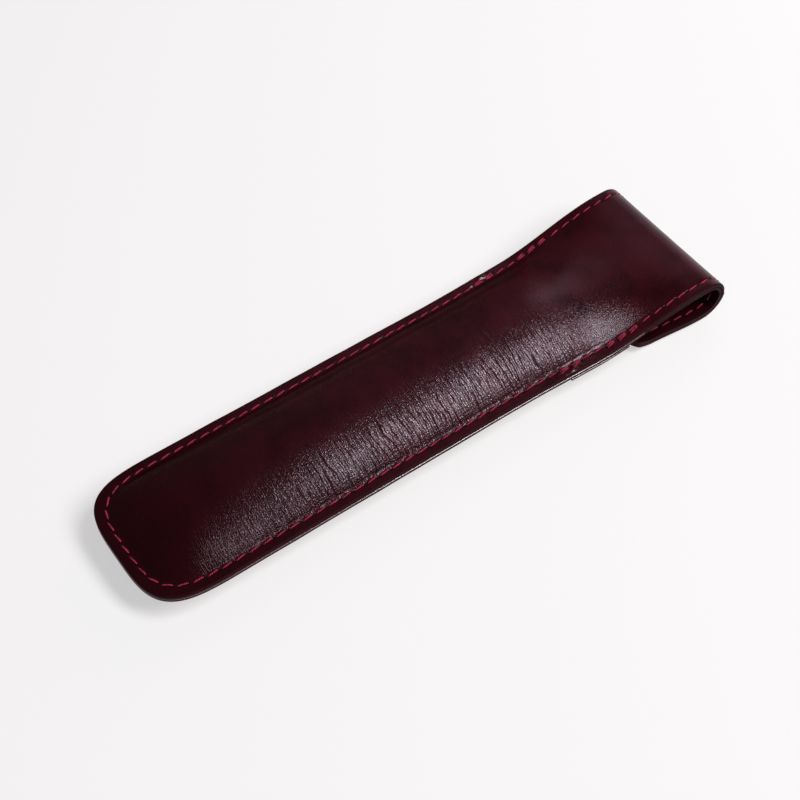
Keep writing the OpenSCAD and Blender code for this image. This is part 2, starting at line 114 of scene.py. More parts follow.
@dataclass
class SleeveForm:
    """Form of the closed sleeve in millimetres, with x from the toe of the solids.

    A field that ends in _l, _w, _h or _t is a length, width, height or thickness.
    """

    closed_l: float = 165.0
    pocket_w: float = 37.8
    round_l: float = 24.7
    toe_in: float = 2.5
    round_power: float = 3.8
    back_rise: float = 6.3
    toe_rise_share: float = 0.72
    belly_drop: float = 5.95
    arch_ratio: float = 1.41
    flat_share: float = 0.3
    margin_w: float = 3.3
    back_t: float = 1.1
    front_t: float = 1.0
    lining_t: float = 0.8
    strap_t: float = 0.8
    glue_t: float = 0.05
    flap_w: float = 41.2
    loop_h: float = 11.9
    mouth_back: float = 26.5
    tongue_w: float = 27.0
    tongue_past: float = 13.0
    tip_l: float = 12.0
    tongue_gap: float = 0.75
    slot_play: float = 0.4
    taper_in: float = 1.5
    strap_w: float = 17.5
    strap_back: float = 4.5
    stitch_inset: float = 2.4
    table_gap: float = 0.72
    edge_rows: float = 3.5

    def __post_init__(self) -> None:
        """Work out the places that follow from the sizes."""
        self.mouth_x = self.closed_l - self.mouth_back
        self.strap_end = self.mouth_x - self.strap_back
        self.strap_start = self.strap_end - self.strap_w
        self.tip_x = self.strap_start - self.tongue_past
        self.loop_r = self.loop_h / 2
        self.fold_x = self.closed_l - self.loop_r
        self.fold_z = self.loop_r + self.table_gap
        self.pile_t = self.back_t + self.glue_t + self.lining_t
        self.seam_z = self.belly_drop + self.front_t + self.glue_t
        self.slot_h = self.pile_t + 2 * self.tongue_gap
        self.belly_lift = self.strap_t + self.slot_h + self.glue_t
        self.lift_start = self.tip_x - 28
        self.lift_end = self.strap_start - 2.5
        self.rise_start = self.strap_start + 7.5
        self.rise_end = self.fold_x - 3
        self.widen_start = self.strap_start - 20
        self.widen_end = self.fold_x + 2
        self.dome_start = 0.6 * self.round_l
        self.dome_end = self.dome_start + 40
        self.slot_half = self.tongue_w / 2 + self.slot_play
        self.neck_end = self.strap_end - 0.5
        self.shoulder_end = self.mouth_x + 0.5
        self.flatten_end = self.mouth_x + 4.5
        self.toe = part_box("back_panel")[0].x / MM

    def half_w(self, x: float) -> float:
        """Return the half width of the pocket and flap at x."""
        widening = ease(x, self.widen_start, self.widen_end)
        return self.pocket_w / 2 + (self.flap_w - self.pocket_w) / 2 * widening

    def reach(self, x: float, y: float) -> float:
        """Return the share of the outline at a point, 1 on the edge.

        Args:
            x: Place along the sleeve, in millimetres.
            y: Place across the sleeve, in millimetres.

        Returns:
            The share, 0 on the middle line.
        """
        across = abs(y) / self.half_w(x)
        if x >= self.round_l:
            return across
        along = (self.round_l - x) / (self.round_l - self.toe_in)
        return (along**self.round_power + across**self.round_power) ** (1 / self.round_power)

    def curve_share(self, x: float, y: float) -> float:
        """Return the share of the curved half width, over 1 on the margin."""
        return self.reach(x, y) / (1 - self.margin_w / self.half_w(x))

    def arch(self, q: float) -> float:
        """Return the dome's height, 1 in the middle and 0 at the margin.

        Args:
            q: Share of the curved half width.

        Returns:
            The height as a share of the dome's rise.
        """
        if q >= 1:
            return 0.0
        foot = math.sqrt(self.arch_ratio**2 - 1)
        return (math.sqrt(self.arch_ratio**2 - q * q) - foot) / (self.arch_ratio - foot)

    def belly_curve(self, q: float) -> float:
        """Return the belly's depth, 1 over a flat middle and 0 at the margin."""
        u = max(0.0, (q - self.flat_share) / (1 - self.flat_share))
        return max(0.0, 1 - u * u)

    def edge_z(self, x: float) -> float:
        """Return the height of the seam between back and front."""
        top = self.fold_z + self.loop_r - self.back_t
        return self.seam_z + (top - self.seam_z) * ease(x, self.rise_start, self.rise_end)

    def dome_rise(self, x: float) -> float:
        """Return the dome's rise, lower at the toe and gone at the fold."""
        toe = self.toe_rise_share + (1 - self.toe_rise_share) * ease(x, self.dome_start, self.dome_end)
        fold = 1 - ease(x, self.strap_start, self.rise_end)
        return self.back_rise * toe * fold

    def back_in(self, x: float, y: float) -> float:
        """Return the height of the back hide's inner face."""
        return self.edge_z(x) + self.dome_rise(x) * self.arch(self.curve_share(x, y))

    def belly_z(self, x: float) -> float:
        """Return the height of the belly's lowest line."""
        return self.belly_lift * ease(x, self.lift_start, self.lift_end)

    def front_out(self, x: float, y: float) -> float:
        """Return the height of the pocket front's outer face."""
        hem = self.edge_z(x) - self.glue_t - self.front_t
        return hem - (hem - self.belly_z(x)) * self.belly_curve(self.curve_share(x, y))

    def strap_in(self, x: float, y: float) -> float:
        """Return the height of the strap's inner face, over the tongue's slot.

        Args:
            x: Place along the sleeve, in millimetres.
            y: Place across the sleeve, in millimetres.

        Returns:
            The height, in millimetres.
        """
        share = 1 - ease(abs(y), self.slot_half, self.half_w(x) - self.margin_w)
        slope = self.steep(self.front_out, x, y)
        return self.front_out(x, y) - (self.glue_t + self.slot_h * share) * slope

    def return_in(self, x: float, y: float) -> float:
        """Return the height of the return's upper face, snug behind the strap.

        Args:
            x: Place along the sleeve, in millimetres.
            y: Place across the sleeve, in millimetres.

        Returns:
            The height, in millimetres.
        """
        a = min(x, self.strap_end)
        b = min(abs(y), self.slot_half)
        snug = self.front_out(a, b) - self.tongue_gap * self.steep(self.front_out, a, b)
        flat = self.fold_z - self.loop_r + self.pile_t
        return flat + (snug - flat) * ease(x, self.flatten_end, self.strap_end)

    def steep(self, height: Callable[[float, float], float], x: float, y: float) -> float:
        """Return the thickness seen along Z per millimetre of sheet.

        Args:
            height: Gives the height of a face from x and y.
            x: Place along the sleeve, in millimetres.
            y: Place across the sleeve, in millimetres.

        Returns:
            The thickness, 1 where the face lies flat.
        """
        if self.curve_share(x, y) > 0.999:
            return 1.0
        step = 0.05
        slope_x = (height(x + step, y) - height(x - step, y)) / (2 * step)
        slope_y = (height(x, y + step) - height(x, y - step)) / (2 * step)
        return math.sqrt(1 + slope_x**2 + slope_y**2)

    def return_half_w(self, x: float, inset: float = 0.0) -> float:
        """Return the half width of the return and tongue, less an inset.

        Args:
            x: Place along the sleeve, in millimetres.
            inset: Distance in from the edge, in millimetres.

        Returns:
            The half width, in millimetres.
        """
        drawn_in = 1 - ease(x, self.shoulder_end, self.fold_x)
        taper = self.half_w(self.fold_x) - self.taper_in * drawn_in
        shoulder = ease(x - 0.8 * inset, self.neck_end, self.shoulder_end)
        neck = self.tongue_w / 2 + (taper - self.tongue_w / 2) * shoulder
        u = max(0.0, (self.tip_x + self.tip_l - x) / (self.tip_l - inset))
        return (neck - inset) * math.sqrt(max(0.0, 1 - u * u))

    def point(self, x: float, y: float, z: float) -> Vector:
        """Return a point of the form as metres in the frame."""
        return Vector(((x + self.toe) * MM, y * MM, z * MM))


@dataclass
class Station:
    """A place along a sheet: a ray round the toe, a crossing at x, or an angle round the fold."""

    x: float
    ray: float = math.pi / 2
    arc: float = 0.0


Place = Callable[[Station, float, float], Vector]


def crossings(start: float, end: float, step: float) -> list[Station]:
    """Return stations straight across the sleeve, from start to end in millimetres."""
    return [Station(x) for x in spread(start, end, step)]


@dataclass
class SheetPath:
    """Places points of a sheet, in metres, from a station and an inset and depth in millimetres."""

    form: SleeveForm

    def toe(self, step: float) -> list[Station]:
        """Return stations round the toe, a step in degrees apart."""
        return [Station(self.form.round_l, ray) for ray in spread(0.0, math.pi / 2, math.radians(step))]

    def turns(self, start: float, end: float, step: float) -> list[Station]:
        """Return stations round the fold between two angles in degrees."""
        angles = spread(math.radians(start), math.radians(end), math.radians(step))
        return [Station(self.form.fold_x, arc=a) for a in angles]

    def inside(self, place: Place) -> Place:
        """Return the place on the lining's side: its depth counts from the pile's inner face."""
        return lambda s, inset, depth: place(s, inset, self.form.pile_t - depth)

    def fitted(self, inset: float, half: float) -> float:
        """Fit a row's inset to a half width, so that the last row meets the middle line.

        Args:
            inset: Nominal distance in from the edge, in millimetres.
            half: Half width of the sheet at the station.

        Returns:
            The inset there, in millimetres.
        """
        f = self.form
        keep = min(f.edge_rows, 0.4 * half)
        if inset <= f.edge_rows:
            return inset * keep / f.edge_rows
        return keep + (inset - f.edge_rows) * (half - keep) / (f.pocket_w / 2 - f.edge_rows)

    def plan(self, s: Station, inset: float) -> tuple[float, float]:
        """Return x and y at an inset from the outline of the pocket.

        Args:
            s: Station along the sheet.
            inset: Distance in from the edge, in millimetres.

        Returns:
            Plan position on the far side, in millimetres.
        """
        f = self.form
        power = f.round_power
        inset = self.fitted(inset, f.half_w(s.x))
        round_off = (math.cos(s.ray) ** power + math.sin(s.ray) ** power) ** (-1 / power)
        along = (f.round_l - f.toe_in - inset) * round_off * math.cos(s.ray)
        return s.x - along, (f.half_w(s.x) - inset) * round_off * math.sin(s.ray)

    def arc(self, s: Station, inset: float, depth: float) -> Vector:
        """Return a point on the fold, at a depth below its outer face.

        Args:
            s: Station along the sheet.
            inset: Distance in from the edge, in millimetres.
            depth: Distance below the outer face, in millimetres.

        Returns:
            The point, in metres.
        """
        f = self.form
        r = f.loop_r - depth
        y = f.half_w(f.fold_x) - self.fitted(inset, f.half_w(f.fold_x))
        return f.point(f.fold_x + r * math.sin(s.arc), y, f.fold_z + r * math.cos(s.arc))

    def back(self, s: Station, inset: float, depth: float) -> Vector:
        """Return a point on the back, at a depth below its outer face.

        Args:
            s: Station along the sheet.
            inset: Distance in from the edge, in millimetres.
            depth: Distance below the outer face, in millimetres.

        Returns:
            The point, in metres.
        """
        if s.arc > 0:
            return self.arc(s, inset, depth)
        f = self.form
        x, y = self.plan(s, inset)
        return f.point(x, y, f.back_in(x, y) + (f.back_t - depth) * f.steep(f.back_in, x, y))

    def front(self, s: Station, inset: float, depth: float) -> Vector:
        """Return a point on the pocket front, at a depth above its outer face.

        Args:
            s: Station along the sheet.
            inset: Distance in from the edge, in millimetres.
            depth: Distance above the outer face, in millimetres.

        Returns:
            The point, in metres.
        """
        f = self.form
        x, y = self.plan(s, inset)
        return f.point(x, y, f.front_out(x, y) + depth * f.steep(f.front_out, x, y))

    def strap(self, s: Station, inset: float, depth: float) -> Vector:
        """Return a point on the strap, at a depth above its outer face.

        Args:
            s: Station along the sheet.
            inset: Distance in from the edge, in millimetres.
            depth: Distance above the outer face, in millimetres.

        Returns:
            The point, in metres.
        """
        f = self.form
        x, y = self.plan(s, inset)
        return f.point(x, y, f.strap_in(x, y) - (f.strap_t - depth) * f.steep(f.strap_in, x, y))

    def flap(self, s: Station, inset: float, depth: float) -> Vector:
        """Return a point on the return and tongue, at a depth above its outer face.

        Args:
            s: Station along the sheet.
            inset: Distance in from the edge, in millimetres.
            depth: Distance above the outer face, in millimetres.

        Returns:
            The point, in metres.
        """
        if s.arc > 0:
            return self.arc(s, inset, depth)
        f = self.form
        x, half = s.x, f.return_half_w(s.x)
        y = max(0.0, half - self.fitted(inset, half))
        return f.point(x, y, f.return_in(x, y) - (f.pile_t - depth) * f.steep(f.return_in, x, y))


class Nodes:
    """A new material, with short forms for building its node tree."""

    def __init__(self, name: str) -> None:
        """Make a material of a name."""
        self.material = bpy.data.materials.new(name)
        self.material.use_nodes = True
        self.tree = self.material.node_tree
        self.shader = self.find("ShaderNodeBsdfPrincipled")

    def find(self, kind: str) -> bpy.types.Node:
        """Return the first node of a kind that the tree already has."""
        return next(n for n in self.tree.nodes if n.bl_idname == kind)

    def add(self, kind: str) -> bpy.types.Node:
        """Return a new node of a kind."""
        return self.tree.nodes.new(kind)

    def link(self, out: Socket, into: Socket) -> None:
        """Link one socket to another."""
        self.tree.links.new(out, into)

    def feed(self, value: object, into: Socket) -> None:
        """Link a socket or set a number on an input.

        Args:
            value: Socket, number or vector.
            into: The input.
        """
        if isinstance(value, Socket):
            self.link(value, into)
        else:
            into.default_value = value

    def put(self, name: str, value: object) -> None:
        """Link or set an input of the shader."""
        self.feed(value, self.shader.inputs[name])

    def mapped(self, vector: Socket, scale: Sequence[float] = (1.0, 1.0, 1.0),
               offset: Sequence[float] = (0.0, 0.0, 0.0), turn: float = 0.0) -> Socket:
        """Return a vector scaled, turned about Z by an angle in degrees, and moved.

        Args:
            vector: The vector.
            scale: Factors along X, Y and Z.
            offset: Distance moved along X, Y and Z.
            turn: Angle in degrees.

        Returns:
            Socket of the mapped vector.
        """
        node = self.add("ShaderNodeMapping")
        node.inputs["Scale"].default_value = scale
        node.inputs["Location"].default_value = offset
        node.inputs["Rotation"].default_value = (0.0, 0.0, math.radians(turn))
        self.link(vector, node.inputs["Vector"])
        return node.outputs["Vector"]

    def millimetres(self, squash: float = 1.0) -> Socket:
        """Return Object coordinates in millimetres, with the height scaled."""
        place = self.add("ShaderNodeTexCoord").outputs["Object"]
        return self.mapped(place, (1 / MM, 1 / MM, squash / MM))

    def axes(self, vector: Socket) -> tuple[Socket, Socket]:
        """Return X and Y of a vector.

        Args:
            vector: The vector.

        Returns:
            Sockets of X and Y.
        """
        node = self.add("ShaderNodeSeparateXYZ")
        self.link(vector, node.inputs["Vector"])
        return node.outputs["X"], node.outputs["Y"]

    def math(self, operation: str, *values: object) -> Socket:
        """Return the result of a Math node on sockets or numbers.

        Args:
            operation: Name of the operation.
            values: Sockets or numbers for its inputs.

        Returns:
            Socket of the result.
        """
        node = self.add("ShaderNodeMath")
        node.operation = operation
        for socket, value in zip(node.inputs, values):
            self.feed(value, socket)
        return node.outputs[0]

    def product(self, first: Socket, *others: object) -> Socket:
        """Return the product of sockets and numbers.

        Args:
            first: The first socket.
            others: More sockets or numbers.

        Returns:
            Socket of the product.
        """
        for other in others:
            first = self.math("MULTIPLY", first, other)
        return first

    def vectors(self, operation: str, *values: object) -> Socket:
        """Return the result of a Vector Math node on sockets or vectors.

        Args:
            operation: Name of the operation.
            values: Sockets or vectors for its inputs.

        Returns:
            Socket of the result.
        """
        node = self.add("ShaderNodeVectorMath")
        node.operation = operation
        for socket, value in zip(node.inputs, values):
            self.feed(value, socket)
        return node.outputs[0]

    def noise(self, vector: Socket, scale: float, detail: float, kind: str = "Fac") -> Socket:
        """Return the value, or the colour, of soft noise over a vector.

        Args:
            vector: Position in the noise.
            scale: Size of the position's unit in the noise.
            detail: Number of finer layers.
            kind: Fac for the value, or Color.

        Returns:
            Socket of the noise.
        """
        node = self.add("ShaderNodeTexNoise")
        node.inputs["Scale"].default_value = scale
        node.inputs["Detail"].default_value = detail
        self.link(vector, node.inputs["Vector"])
        return node.outputs[kind]

    def cells(self, vector: Socket, scale: float) -> Socket:
        """Return the distance to the edges of Voronoi cells.

        Args:
            vector: Position among the cells.
            scale: Number of cells to a unit of the position.

        Returns:
            Socket of the distance.
        """
        node = self.add("ShaderNodeTexVoronoi")
        node.feature = "DISTANCE_TO_EDGE"
        node.inputs["Scale"].default_value = scale
        self.link(vector, node.inputs["Vector"])
        return node.outputs["Distance"]

    def ramp(self, value: Socket, start: float, end: float) -> Socket:
        """Return a value mapped smoothly from start and end to 0 and 1, rising or falling.

        Args:
            value: The value.
            start: Value that gives 0.
            end: Value that gives 1, above or below the start.

        Returns:
            Socket from 0 to 1.
        """
        node = self.add("ShaderNodeMapRange")
        node.interpolation_type = "SMOOTHSTEP"
        self.link(value, node.inputs["Value"])
        falls = start > end
        node.inputs["From Min"].default_value = min(start, end)
        node.inputs["From Max"].default_value = max(start, end)
        node.inputs["To Min"].default_value = float(falls)
        node.inputs["To Max"].default_value = float(not falls)
        return node.outputs["Result"]

    def mix(self, share: Socket, a: Sequence[float], b: Sequence[float]) -> Socket:
        """Return a mix of two colours.

        Args:
            share: Share of the second colour.
            a: First colour.
            b: Second colour.

        Returns:
            Socket of the mix.
        """
        node = self.add("ShaderNodeMix")
        node.data_type = "RGBA"
        self.link(share, node.inputs[0])
        node.inputs[6].default_value = (*a, 1.0)
        node.inputs[7].default_value = (*b, 1.0)
        return node.outputs[2]

    def bump(self, height: Socket, depth_mm: float, normal: Socket | None = None) -> Socket:
        """Return a bumped normal, on top of another one if given.

        Args:
            height: Height, 0 to 1.
            depth_mm: Distance from 0 to 1, in millimetres.
            normal: Normal below it, or None.

        Returns:
            Socket of the normal.
        """
        node = self.add("ShaderNodeBump")
        node.inputs["Distance"].default_value = depth_mm * MM
        self.link(height, node.inputs["Height"])
        if normal is not None:
            self.link(normal, node.inputs["Normal"])
        return node.outputs["Normal"]


@dataclass(frozen=True)
class WearAndShade:
    """Where painted shade deepens the colour towards the toe, and where the leather is polished, worn,
    creased and pulled.

    Each pair is the place where an effect starts and the place where it is full, in millimetres
    in the frame of the solids. X runs towards the fold and Y to the far side. Where the sleeve
    widens, the strip beside the near seam moves out by widening_mm.
    """

    painted_toe_shade_x: tuple[float, float] = (-110.0, 20.0)
    bend_x: tuple[float, float] = (74.0, 79.0)
    polish_toe_x: tuple[float, float] = (-78.0, -12.0)
    polish_fold_x: tuple[float, float] = (66.0, 32.0)
    worn_toe_x: tuple[float, float] = (-78.0, -35.0)
    worn_fold_x: tuple[float, float] = (72.0, 36.0)
    worn_crown_y: tuple[float, float] = (1.5, -7.5)
    worn_margin_y: tuple[float, float] = (-16.4, -15.6)
    crease_fold_x: tuple[float, float] = (50.0, 28.0)
    pulled_toe_x: tuple[float, float] = (-70.0, -30.0)
    pulled_fold_x: tuple[float, float] = (50.0, 38.0)
    near_seam_y: tuple[float, float] = (-16.3, -15.9)
    near_body_y: tuple[float, float] = (-12.6, -14.6)
    far_seam_y: tuple[float, float] = (15.9, 15.4)
    far_body_y: tuple[float, float] = (13.4, 14.6)
    widening_x: tuple[float, float] = (14.0, 79.0)
    widening_mm: float = 1.7


@dataclass(frozen=True)
class LeatherFinish:
    """Glazed leather with pebble grain and fine creases across the pocket.

    The gloss of the glaze is flatter at grazing angles than that of glass.
    """

    name: str
    colour: tuple[float, float, float]
    deep: tuple[float, float, float]
    roughness: float = 0.18
    gloss: float = 0.44
    sheen_tint: tuple[float, float, float] = (1.0, 0.83, 0.96)
    grain_mm: float = 0.5
    grain_depth: float = 0.028
    crease_mm: float = 1.45
    crease_depth: float = 0.06
    ridge_mm: float = 0.62
    ridge_turn: float = 83.0
    creased: bool = True
    wear_and_shade: WearAndShade = WearAndShade()

    def material(self) -> bpy.types.Material:
        """Build the node material.

        Returns:
            The leather material.
        """
        tree = Nodes(self.name)
        place = tree.millimetres()
        worn = self.worn(tree, place)
        dips = self.dips(tree, place, worn)
        grain = self.pebbles(tree, place, worn)
        normal = tree.bump(grain, self.grain_depth)
        normal = tree.bump(tree.math("SUBTRACT", 1.0, dips), self.crease_depth, normal)
        tree.put("Normal", normal)
        fine = tree.noise(place, 3.2, 3.0)
        tree.put("Base Color", self.tint(tree, place, fine))
        rough = tree.math("MULTIPLY_ADD", fine, 0.1, self.roughness - 0.05)
        tree.put("Roughness", tree.math("MULTIPLY_ADD", dips, 0.25, rough))
        tree.put("Specular Tint", (*self.sheen_tint, 1.0))
        tree.put("Specular IOR Level", self.glaze(tree, place, grain, dips))
        return tree.material

    def tint(self, tree: Nodes, place: Socket, fine: Socket) -> Socket:
        """Return the colour, deepened towards the toe by painted shade, and uneven over the grain.

        Args:
            tree: Nodes of the material.
            place: Position in millimetres.
            fine: Fine noise, 0 to 1.

        Returns:
            Socket of the colour.
        """
        x, _ = tree.axes(place)
        blotch = tree.ramp(tree.noise(place, 0.12, 3.0), 0.2, 0.65)
        # Painted shade: the colour falls to the deep tone towards the toe.
        share = tree.product(blotch, tree.ramp(x, *self.wear_and_shade.painted_toe_shade_x))
        share = tree.math("MULTIPLY_ADD", fine, 1.1, tree.math("SUBTRACT", share, 0.55))
        return tree.mix(share, self.deep, self.colour)

    def glaze(self, tree: Nodes, place: Socket, grain: Socket, dips: Socket) -> Socket:
        """Return the gloss, weaker at grazing angles, in the dips and towards both ends.

        Args:
            tree: Nodes of the material.
            place: Position in millimetres.
            grain: Height of the grain, from 0.
            dips: Depth of the creases, 0 to 1.

        Returns:
            Socket of the specular level.
        """
        x, _ = tree.axes(place)
        facing = tree.add("ShaderNodeLayerWeight").outputs["Facing"]
        facing = tree.math("MULTIPLY_ADD", tree.ramp(x, *self.wear_and_shade.bend_x), -0.38, facing)
        level = tree.math("MULTIPLY_ADD", tree.ramp(facing, 0.58, 0.28), self.gloss, 0.008 * self.gloss)
        polish = tree.product(tree.ramp(x, *self.wear_and_shade.polish_toe_x), tree.ramp(x, *self.wear_and_shade.polish_fold_x))
        level = tree.product(level, tree.math("MULTIPLY_ADD", polish, 0.6, 0.48))
        level = tree.product(level, tree.math("MULTIPLY_ADD", grain, 0.5, 0.6))
        return tree.product(level, tree.math("MULTIPLY_ADD", dips, -0.92, 1.0))

    def pebbles(self, tree: Nodes, place: Socket, worn: Socket) -> Socket:
        """Return the height of the pebble grain and its pores.

        Args:
            tree: Nodes of the material.
            place: Position in millimetres.
            worn: Where the leather is worn, 0 to 1.

        Returns:
            Socket of the height.
        """
        warp = tree.vectors("SUBTRACT", tree.noise(place, 1.1, 2.0, "Color"), (0.5, 0.5, 0.5))
        bent = tree.vectors("ADD", place, tree.vectors("MULTIPLY", warp, (0.5, 0.5, 0.5)))
        cells = tree.ramp(tree.cells(bent, 1 / self.grain_mm), 0.0, 0.3)
        pores = tree.noise(place, 4.5, 2.0)
        grain = tree.math("MULTIPLY_ADD", pores, 0.4, cells)
        return tree.product(grain, tree.math("MULTIPLY_ADD", worn, 0.65, 0.35))

    def lines(self, tree: Nodes, place: Socket, gap: float, bend: float, sharp: float) -> Socket:
        """Return wandering lines, close together along X and long the other way.

        Args:
            tree: Node tree of the material.
            place: Position in millimetres.
            gap: Distance between the lines, in millimetres.
            bend: Length of their bends, in millimetres.
            sharp: Value of the wave, up to 1, from which a line starts.

        Returns:
            Socket that is 1 on the lines and 0 between them.
        """
        stretched = tree.mapped(place, (1 / (4 * gap), 1 / bend, 1 / bend), (gap, bend, 0.0))
        wander = tree.noise(stretched, 1.0, 2.0)
        x, _ = tree.axes(place)
        phase = tree.math("MULTIPLY_ADD", wander, 2.6, tree.product(x, 1 / gap))
        return tree.ramp(tree.math("SINE", tree.product(phase, math.tau)), sharp, 1.0)

    def runs(self, tree: Nodes, place: Socket, along: float, across: float) -> Socket:
        """Return stretches of lines of a size along and across the sleeve, 0 to 1."""
        stretched = tree.mapped(place, (1 / along, 1 / across, 1 / across), (along, across, 3.0))
        return tree.ramp(tree.noise(stretched, 1.0, 2.0), 0.34, 0.56)

    def dips(self, tree: Nodes, place: Socket, worn: Socket) -> Socket:
        """Return the depth of the creases and of the wrinkles beside the seam, 0 to 1.

        Args:
            tree: Nodes of the material.
            place: Position in millimetres.
            worn: Where the leather is worn, 0 to 1.

        Returns:
            Socket of the depth.
        """
        gap = self.crease_mm
        strong = tree.product(self.lines(tree, place, gap, 9.0, 0.68), self.runs(tree, place, 1.8, 7.0))
        fine = tree.product(self.lines(tree, place, 0.42 * gap, 4.0, 0.4), self.runs(tree, place, 0.8, 3.0))
        x, _ = tree.axes(place)
        bent = tree.product(worn, tree.ramp(x, *self.wear_and_shade.crease_fold_x))
        creases = tree.product(tree.math("MAXIMUM", strong, tree.product(fine, 0.85)), bent)
        turned = tree.mapped(place, turn=self.ridge_turn)
        ridges = tree.product(self.lines(tree, turned, self.ridge_mm, 3.0, 0.1), 0.75)
        return tree.math("MAXIMUM", creases, tree.product(ridges, self.pulled(tree, place)))

    def pulled(self, tree: Nodes, place: Socket) -> Socket:
        """Return the strips beside the seams where the thread pulls the leather in, 0 to 1.

        Args:
            tree: Nodes of the material.
            place: Position in millimetres.

        Returns:
            Socket that is 1 on the strips.
        """
        wear_and_shade = self.wear_and_shade
        x, y = tree.axes(place)
        inward = tree.math("MULTIPLY_ADD", tree.ramp(x, *wear_and_shade.widening_x), wear_and_shade.widening_mm, y)
        near = tree.product(tree.ramp(inward, *wear_and_shade.near_seam_y), tree.ramp(inward, *wear_and_shade.near_body_y))
        far = tree.product(tree.ramp(y, *wear_and_shade.far_seam_y), tree.ramp(y, *wear_and_shade.far_body_y), 0.6)
        body = tree.product(tree.ramp(x, *wear_and_shade.pulled_toe_x), tree.ramp(x, *wear_and_shade.pulled_fold_x))
        return tree.product(tree.math("MAXIMUM", near, far), body, float(self.creased))

    def worn(self, tree: Nodes, place: Socket) -> Socket:
        """Return where the leather is grained and creased, 0 to 1.

        Args:
            tree: Nodes of the material.
            place: Position in millimetres.

        Returns:
            Socket that is 1 where the leather is worn most.
        """
        wear_and_shade = self.wear_and_shade
        x, y = tree.axes(place)
        drift = tree.math("MULTIPLY_ADD", tree.noise(place, 0.07, 2.0), 7.0, -3.5)
        flank = tree.ramp(tree.math("ADD", y, drift), *wear_and_shade.worn_crown_y)
        body = tree.product(tree.ramp(x, *wear_and_shade.worn_toe_x), tree.ramp(x, *wear_and_shade.worn_fold_x))
        return tree.product(flank, tree.ramp(y, *wear_and_shade.worn_margin_y), body, float(self.creased))


@dataclass(frozen=True)
class EdgeFinish:
    """Burnished or painted leather edge, lighter in colour where it carries a painted highlight."""

    name: str
    colour: tuple[float, float, float]
    roughness: float
    coat: float
    gloss: float

    def material(self) -> bpy.types.Material:
        """Build the node material.

        Returns:
            The edge material.
        """
        tree = Nodes(self.name)
        fibre = tree.noise(tree.millimetres(3.0), 0.9, 4.0)
        dark = tuple(0.45 * c for c in self.colour)
        tree.put("Base Color", tree.mix(fibre, dark, self.colour))
        tree.put("Normal", tree.bump(fibre, 0.03))
        tree.put("Roughness", self.roughness)
        tree.put("Coat Weight", self.coat)
        tree.put("Coat Roughness", 0.12)
        tree.put("Specular IOR Level", self.gloss)
        return tree.material


@dataclass(frozen=True)
class ThreadFinish:
    """Waxed linen thread, twisted from strands, with painted shade in the grooves between them."""

    name: str = "waxed_thread"
    colour: tuple[float, float, float] = (0.55, 0.028, 0.09)
    roughness: float = 0.6

    def material(self) -> bpy.types.Material:
        """Build the node material.

        Returns:
            The thread material.
        """
        tree = Nodes(self.name)
        strands = tree.add("ShaderNodeTexWave")
        strands.wave_type = "BANDS"
        strands.bands_direction = "DIAGONAL"
        strands.inputs["Scale"].default_value = 0.9
        tree.link(tree.add("ShaderNodeTexCoord").outputs["UV"], strands.inputs["Vector"])
        strand = strands.outputs["Fac"]
        tone = tree.noise(tree.millimetres(), 0.8, 3.0)
        # Painted shade: the strand bands darken the colour in the grooves between the strands.
        dark = tuple(0.08 * c for c in self.colour)
        share = tree.math("MULTIPLY_ADD", strand, 0.8, tree.math("MULTIPLY_ADD", tone, 1.2, -0.5))
        tree.put("Base Color", tree.mix(share, dark, self.colour))
        tree.put("Normal", tree.bump(strand, 0.06))
        tree.put("Roughness", self.roughness)
        tree.put("Specular IOR Level", 0.25)
        return tree.material


@dataclass
class Stitch:
    """One stitch: its ends in metres, and the leather's outward normal."""

    start: Vector
    end: Vector
    out: Vector


@dataclass
class Row:
    """A row of stitches along a path on one face of the leather.

    The path gives a point and an outward normal at each step. The pitch of the stitches and the
    length of each are in millimetres.
    """

    points: list[Vector]
    normals: list[Vector]
    pitch: float = 3.5
    length: float = 2.55

    def stitches(self) -> list[Stitch]:
        """Return the stitches, a whole number of them evenly along the row.

        Returns:
            The stitches in their order along the row.
        """
        marks = [0.0]
        for a, b in zip(self.points, self.points[1:]):
            marks.append(marks[-1] + (b - a).length)
        count = max(1, round(marks[-1] / (self.pitch * MM)))
        cell = marks[-1] / count
        half = self.length * MM / 2
        found = []
        for k in range(count):
            middle = (k + 0.5) * cell
            ends = [self.at(marks, middle + offset, self.points) for offset in (-half, half)]
            found.append(Stitch(*ends, self.at(marks, middle, self.normals).normalized()))
        return found

    @staticmethod
    def at(marks: list[float], distance: float, values: list[Vector]) -> Vector:
        """Return the value at a distance along the row.

        Args:
            marks: Distance of each value along the row, in metres.
            distance: Distance along the row, in metres.
            values: Points or normals of the row.

        Returns:
            The point or normal there.
        """
        i = next((i for i in range(1, len(marks)) if marks[i] >= distance), len(marks) - 1)
        share = (distance - marks[i - 1]) / max(1e-9, marks[i] - marks[i - 1])
        return values[i - 1].lerp(values[i], max(0.0, min(1.0, share)))


